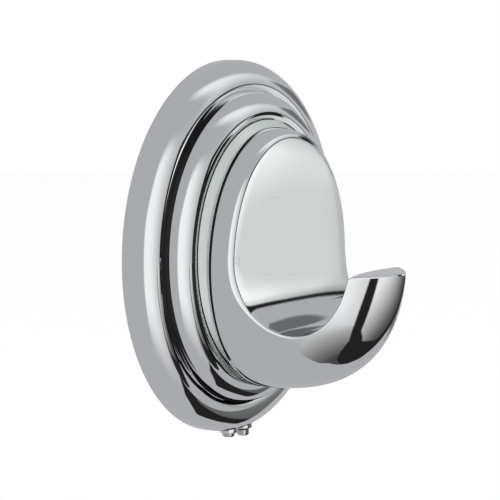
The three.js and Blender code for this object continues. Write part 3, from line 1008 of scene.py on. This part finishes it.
def bearing_vector(azimuth, elevation):
    """The direction towards a bearing round the hook and a height above the horizon."""
    flat = math.cos(elevation)
    return Vector((math.sin(azimuth) * flat, -math.cos(azimuth) * flat, math.sin(elevation)))


def past(values, edge, soft=1):
    """Nothing before an edge and one after it, eased over a soft breadth on both sides of it."""
    return ease(values, edge - soft, edge + soft)


def along(places, *corners):
    """Values at places along a broken line through corners of (place, value), level beyond its ends."""
    return np.interp(places, *np.transpose(corners))


def covered(colours, over, share):
    """Colours that other colours cover by a share at each point."""
    return colours + share[:, None] * (over - colours)


def card(bearing, height, centre, half, turn, soft):
    """One inside a rounded card seen in degrees of bearing and height, nothing outside it.

    The card is a fourth-power ellipse with the given half sizes, turned anticlockwise; soft is the breadth of
    its edge as a share of its size.
    """
    across, up = bearing - centre[0], height - centre[1]
    cos, sin = math.cos(math.radians(turn)), math.sin(math.radians(turn))
    size = (((across * cos + up * sin) / half[0]) ** 4 + ((up * cos - across * sin) / half[1]) ** 4) ** 0.25
    return 1 - past(size, 1, soft)


def softbox(bearing, height):
    """The front softbox: a sharp left edge, soft elsewhere, dimmer and narrower towards its right end."""
    top = along(bearing, (-52, 10), (-35, 34), (-15, 36), (0, 30), (20, 15), (38, 6))
    low = along(bearing, (-52, -18), (-30, -20), (0, -20), (20, -14), (38, -6))
    lit = ease(bearing, -56, -49) * (1 - 0.92 * ease(bearing, -32, 46))
    return lit * ease(height, low - 42, low) * (1 - ease(height, top, top + 16))


def tent_light(bearing, height, stage):
    """Colours of the pale tent with its front softbox and a narrow one up on the right.

    Painted shade: in a second mirror only its right side and its foot show, and the rest is dimmed to dark.
    """
    glow = np.broadcast_to(np.array(stage.tent), (len(bearing), 3))
    narrow = 0.85 * card(bearing, height, (47, 36), (8, 27), 25, 0.7)
    for share in (softbox(bearing, height), narrow):
        glow = covered(glow, np.array(stage.softbox), share)
    # Painted shade: where a second mirror still shows the tent; elsewhere it is dimmed to dark
    right = ease(bearing, 44, 54)
    foot = ease(bearing, -5, 15) * ease(-height, 35, 50)
    return glow, np.ones_like(bearing), np.maximum(right, foot)


def side_light(bearing, height, stage):
    """Colours of the grey panel on the right with its black frame, and of a dark card above its right end.

    Painted shade: in a second mirror only the panel's upper part shows, and the rest is dimmed to dark.
    """
    # The panel: its left edge, and its top, which slopes down to the right
    inner = along(height, (-55, 24), (-40, 24), (-32, 28), (-25, 34), (13, 34))
    top = along(bearing, (34, 14.5), (45, 15), (50, 14.2), (54, 13.3), (57, 11.9), (60, 10.1), (64, 8.1))
    inside = past(bearing, inner) * ease(height, -52, -49) * (1 - past(height, top, 0.5))

    # It darkens downwards, at its right end and under its top, and is lighter at its upper left
    upper = ease(height, -12, -6)
    level = along(height, (-52, 0.15), (-40, 0.18), (-30, 0.21), (-24, 0.25), (-16, 0.5), (-8, 0.9), (3, 0.9),
                  (8, 1))
    level = level + 0.35 * upper * ease(50 - bearing + 0.8 * (height - 3), 0, 11.5)
    level = level * (1 - 0.25 * upper * ease(bearing, 55.5, 60.5))
    level = level * (1 - 0.3 * ease(height, top - 4, top - 0.5))
    glow = covered(np.array(stage.flag), np.array(stage.side_card) * level[:, None], inside)

    # The frame's outer edges
    left = along(height, (-82, 25), (-78, 12), (-74, 4), (-68, -2), (-60, -7), (-45, 4), (-35, 12), (-26, 21),
                 (-5, 18), (22, 20))
    right = along(height, (-55, 74), (-48, 70), (-40, 66))
    crest = along(bearing, (18, 23), (30, 22), (36, 21), (45, 19.6), (50, 17), (54, 15.6), (57, 14.2),
                  (60, 12.4), (64, 10.4))
    bottom = along(bearing, (0, -78), (20, -77), (35, -73), (45, -69), (60, -63), (75, -59))
    framed = past(bearing, left, 1.5) * (1 - past(bearing, right))
    framed = framed * past(height, bottom) * (1 - past(height, crest, 0.6))
    shade = 0.68 * card(bearing, height, (73, 25), (11, 5.5), 0, 0.2)
    # The third share is painted shade: only the panel's upper part still shows in a second mirror
    return glow, np.maximum(framed, shade), 0.82 * inside * ease(height, -12, -4)


def lip_light(bearing, height, stage):
    """Colours of the framed grey panel close to the lip, the grey beside it and the tent under it."""
    tent, white, flag = (np.array(tone) for tone in (stage.tent, stage.softbox, stage.flag))

    # The frame's outer edges
    left = along(height, (-88, -112), (-79, -97), (-72, -86), (-67, -76), (-57, -58), (-50, -49), (12, -34.5))
    right = along(height, (-90, 60), (-75, 62), (-67, 57), (-57, 58), (-40, 63), (-20, 75), (0, 92),
                  (10, 104))
    before_right = 1 - past(bearing, right)
    framed = past(bearing, left) * before_right

    # The panel: its edges, with a low middle, and how it darkens towards its lower right
    inner = left + along(height, (-57, 20), (-40, 15), (12, 11))
    across = np.clip((bearing - inner) / (right - 16 - inner), 0, 1)
    low = -57 + 16 * (1 - 4 * across * (1 - across)) ** 2
    inside = past(bearing, inner) * past(height, low) * (1 - ease(bearing, right - 20, right - 13))
    fall = np.clip(0.75 * (bearing + 15) / 80 + 0.5 * (10 - height) / 65, 0, 1)[:, None]
    panel = covered(flag, white * (0.85 * (1 - fall) ** 2.2 + 0.07), inside)

    # The grey to the left of the frame, darker downwards
    edge = along(height, (-88, -112), (-75, -108), (-68, -106), (-60, -112), (-37, -111), (-30, -103),
                 (-22, -95))
    grey = along(height, (-66, 0.065), (-60, 0.125), (-52, 0.2), (-47, 0.27), (-42, 0.34), (-36, 0.44),
                 (-28, 0.62))
    glow = np.broadcast_to(tent, (len(bearing), 3))
    glow = covered(glow, white * grey[:, None], past(bearing, edge) * before_right)
    glow = covered(glow, panel, framed)

    # Only the frame and a haze to its left are there, up to the panel's top, and low down everything
    haze = 0.5 * ease(bearing, left - 22, left) * before_right
    here = np.maximum(framed, haze) * (1 - ease(height, 11, 13))
    # Painted shade: a second mirror shows none of it, so it comes out dark there
    return glow, np.maximum(here, ease(-height, 24, 36)), np.zeros_like(bearing)


def top_light(bearing, height, stage):
    """Colours of the small black flag beside the rosette's top, which no second mirror shows."""
    glow = np.broadcast_to(np.array(stage.flag), (len(bearing), 3))
    return glow, card(bearing, height, (59, -8), (5.5, 6), 0, 0.12), np.zeros_like(bearing)


def mirror_light(name):
    """Light that shows on a dome's inside only, in the dome's own colours, dimmed in a second mirror as
    painted shade.
    """
    material = bpy.data.materials.new(name)
    material.use_nodes = True
    tree = material.node_tree
    tree.nodes.clear()
    glow = add(tree, "ShaderNodeAttribute", attribute_name="glow").outputs
    again = add(tree, "ShaderNodeAttribute", attribute_name="again").outputs["Fac"]
    # Painted shade: seen in a second mirror, the light falls to 3% wherever the dome's again share is
    # nothing, so creases come out dark
    depth = add(tree, "ShaderNodeLightPath").outputs["Glossy Depth"]
    dim = add(tree, "ShaderNodeMapRange", {"Value": again, "To Min": 0.03, "To Max": 1.0})
    strength = add(tree, "ShaderNodeMapRange", {
        "Value": depth, "From Min": 1.4, "From Max": 1.6, "To Min": 1.0, "To Max": dim.outputs["Result"]})
    shine = add(tree, "ShaderNodeEmission", {"Color": glow["Color"], "Strength": strength.outputs["Result"]})
    inside = add(tree, "ShaderNodeNewGeometry").outputs["Backfacing"]
    share = add(tree, "ShaderNodeMath", {0: glow["Alpha"], 1: inside}, operation="MULTIPLY")
    clear = add(tree, "ShaderNodeBsdfTransparent")
    both = add(tree, "ShaderNodeMixShader", {0: share.outputs[0], 1: clear.outputs[0], 2: shine.outputs[0]})
    add(tree, "ShaderNodeOutputMaterial", {"Surface": both.outputs[0]})
    return material


def light_dome(name, centre, radius, light, sides=300):
    """A ball round a point that only mirrors see, from inside.

    The light function gives its colour, how much of it is there and how much of it a second mirror shows,
    from bearing and height in degrees. Where a second mirror shows little of it, shade is painted: a crease,
    which mirrors another mirror, comes out dark.
    """
    turn, rise = np.meshgrid(angles(sides), np.radians(np.linspace(-90, 90, sides // 2 + 1)))
    ball = np.stack([np.cos(rise) * np.sin(turn), -np.cos(rise) * np.cos(turn), np.sin(rise)], axis=-1)
    mesh = mesh_from_grids(name, [ball])
    spots = np.empty(3 * len(mesh.vertices))
    mesh.vertices.foreach_get("co", spots)
    spots = spots.reshape(-1, 3)
    across, out, up = spots.T
    bearing = np.degrees(np.arctan2(across, -out))
    height = np.degrees(np.arcsin(np.clip(up, -1, 1)))
    colours, here, again = light(bearing, height, bpy.context.scene.wall_hook_stage)
    mesh.vertices.foreach_set("co", (spots * radius + np.array(centre)).ravel())
    glow = np.concatenate([colours, here[:, None]], axis=1)
    mesh.color_attributes.new("glow", "FLOAT_COLOR", "POINT").data.foreach_set("color", glow.ravel())
    mesh.attributes.new("again", "FLOAT", "POINT").data.foreach_set("value", again)
    mesh.materials.append(mirror_light(name))
    dome = bpy.data.objects.new(name, mesh)
    dome.visible_camera = dome.visible_diffuse = dome.visible_shadow = dome.visible_transmission = False
    bpy.context.scene.collection.objects.link(dome)


def place_camera(scene, sizes):
    """The camera at its bearing and height, looking at the rosette's centre, with its frame shifted."""
    lens = bpy.data.cameras.new("camera")
    lens.sensor_width = 36
    lens.lens = sizes.lens
    lens.shift_x, lens.shift_y = sizes.shift
    camera = bpy.data.objects.new("camera", lens)
    towards = bearing_vector(sizes.azimuth, sizes.elevation)
    camera.location = towards * sizes.distance
    camera.rotation_euler = towards.to_track_quat("Z", "Y").to_euler()
    scene.collection.objects.link(camera)
    scene.camera = camera


def light_room(scene):
    """A white room that lights the hook a little less than it looks, and a soft lamp from the upper left."""
    world = bpy.data.worlds.new("white room")
    world.use_nodes = True
    scene.world = world
    tree = world.node_tree
    tree.nodes.clear()
    path = add(tree, "ShaderNodeLightPath").outputs
    seen = path["Is Camera Ray"]
    for kind in ("Is Glossy Ray", "Is Transmission Ray"):
        seen = add(tree, "ShaderNodeMath", {0: seen, 1: path[kind]}, operation="MAXIMUM").outputs[0]
    strength = add(tree, "ShaderNodeMapRange", {"Value": seen, "To Min": 0.78, "To Max": 1.0})
    room = add(tree, "ShaderNodeBackground", {"Color": (1, 1, 1, 1), "Strength": strength.outputs["Result"]})
    add(tree, "ShaderNodeOutputWorld", {"Surface": room.outputs["Background"]})

    lamp = bpy.data.lights.new("soft daylight", "SUN")
    lamp.energy = 0.9
    lamp.angle = math.radians(40)
    sun = bpy.data.objects.new("soft daylight", lamp)
    towards = bearing_vector(math.radians(-70), math.radians(60))
    sun.rotation_euler = towards.to_track_quat("Z", "Y").to_euler()
    sun.visible_glossy = False
    scene.collection.objects.link(sun)


def white_paper():
    # Matt white paper: an even white that only shows the softest shadow
    return finish("white paper floor", linear("#FDFDFD"),
                  metallic=0, roughness=0.9, grain=2 * MM, height=0.01 * MM)


def lay_floor(scene, sizes):
    """A square of white paper under the hook."""
    floor = bpy.data.meshes.new("floor")
    reach = sizes.floor_reach
    corners = ((-reach, -reach), (reach, -reach), (reach, reach), (-reach, reach))
    floor.from_pydata([(x, y, -sizes.floor_drop) for x, y in corners], [], [(0, 1, 2, 3)])
    floor.materials.append(white_paper())
    ground = bpy.data.objects.new("floor", floor)
    ground.visible_glossy = False
    scene.collection.objects.link(ground)


def make_stage(context):
    """The camera, the white room, a soft lamp, the floor and the lights that the chrome mirrors."""
    scene = context.scene
    sizes = scene.wall_hook_stage
    scene.view_settings.view_transform = "Standard"
    place_camera(scene, sizes)
    light_room(scene)
    lay_floor(scene, sizes)
    light_dome("studio tent", (0, 0, 0), sizes.tent_radius, tent_light)
    # Finer than the rest, because the trough mirrors its top edge as a thin line
    light_dome("side panel", (0, 0, 0), sizes.side_panel_radius, side_light, sides=720)
    light_dome("lip panel", sizes.lip_panel, sizes.lip_panel_radius, lip_light)
    light_dome("top flag", sizes.top_flag, sizes.top_flag_radius, top_light)


class WALLHOOK_OT_rosette(bpy.types.Operator):
    """Build the two-bead rosette with its boss, lugs and holes"""

    bl_idname = "wall_hook.rosette"
    bl_label = "Rosette"

    def execute(self, context):
        make_rosette(context)
        return {"FINISHED"}


class WALLHOOK_OT_hook(bpy.types.Operator):
    """Build the hook casting"""

    bl_idname = "wall_hook.hook"
    bl_label = "Hook"

    def execute(self, context):
        make_hook(context)
        return {"FINISHED"}


class WALLHOOK_OT_set_screws(bpy.types.Operator):
    """Build the two set screws under the rosette"""

    bl_idname = "wall_hook.set_screws"
    bl_label = "Set Screws"

    def execute(self, context):
        make_set_screws(context)
        return {"FINISHED"}


class WALLHOOK_OT_hook_screw(bpy.types.Operator):
    """Build the screw that holds the hook, with its two washers"""

    bl_idname = "wall_hook.hook_screw"
    bl_label = "Hook Screw and Washers"

    def execute(self, context):
        make_hook_screw(context)
        return {"FINISHED"}


class WALLHOOK_OT_bracket(bpy.types.Operator):
    """Build the pressed bracket on the wall"""

    bl_idname = "wall_hook.bracket"
    bl_label = "Wall Bracket"

    def execute(self, context):
        make_bracket(context)
        return {"FINISHED"}


class WALLHOOK_OT_wall_screws(bpy.types.Operator):
    """Build the two wall screws and their plugs"""

    bl_idname = "wall_hook.wall_screws"
    bl_label = "Wall Screws and Plugs"

    def execute(self, context):
        make_wall_screws(context)
        return {"FINISHED"}


class WALLHOOK_OT_stage(bpy.types.Operator):
    """Set up the camera, light, floor and cards"""

    bl_idname = "wall_hook.stage"
    bl_label = "Stage"

    def execute(self, context):
        make_stage(context)
        return {"FINISHED"}


OPERATORS = (WALLHOOK_OT_rosette, WALLHOOK_OT_hook, WALLHOOK_OT_set_screws, WALLHOOK_OT_hook_screw,
             WALLHOOK_OT_bracket, WALLHOOK_OT_wall_screws, WALLHOOK_OT_stage)


class WALLHOOK_PT_pieces(bpy.types.Panel):
    """Sizes, finishes and a button for each piece"""

    bl_idname = "WALLHOOK_PT_pieces"
    bl_label = "Wall Hook"
    bl_space_type = "VIEW_3D"
    bl_region_type = "UI"
    bl_category = "Wall Hook"

    def draw(self, context):
        layout = self.layout
        for operator in OPERATORS:
            layout.operator(operator.bl_idname)
        for group, kind in GROUPS.items():
            layout.label(text=kind.__doc__)
            for name in kind.__annotations__:
                layout.prop(getattr(context.scene, group), name)


CLASSES = (*GROUPS.values(), *OPERATORS, WALLHOOK_PT_pieces)


def register():
    for kind in CLASSES:
        bpy.utils.register_class(kind)
    for group, kind in GROUPS.items():
        setattr(bpy.types.Scene, group, bpy.props.PointerProperty(type=kind))


def unregister():
    for group in GROUPS:
        delattr(bpy.types.Scene, group)
    for kind in reversed(CLASSES):
        bpy.utils.unregister_class(kind)


def main():
    """Build every piece and the stage."""
    register()
    bpy.ops.wall_hook.rosette()
    bpy.ops.wall_hook.hook()
    bpy.ops.wall_hook.set_screws()
    bpy.ops.wall_hook.hook_screw()
    bpy.ops.wall_hook.bracket()
    bpy.ops.wall_hook.wall_screws()
    bpy.ops.wall_hook.stage()


if __name__ == "__main__":
    main()
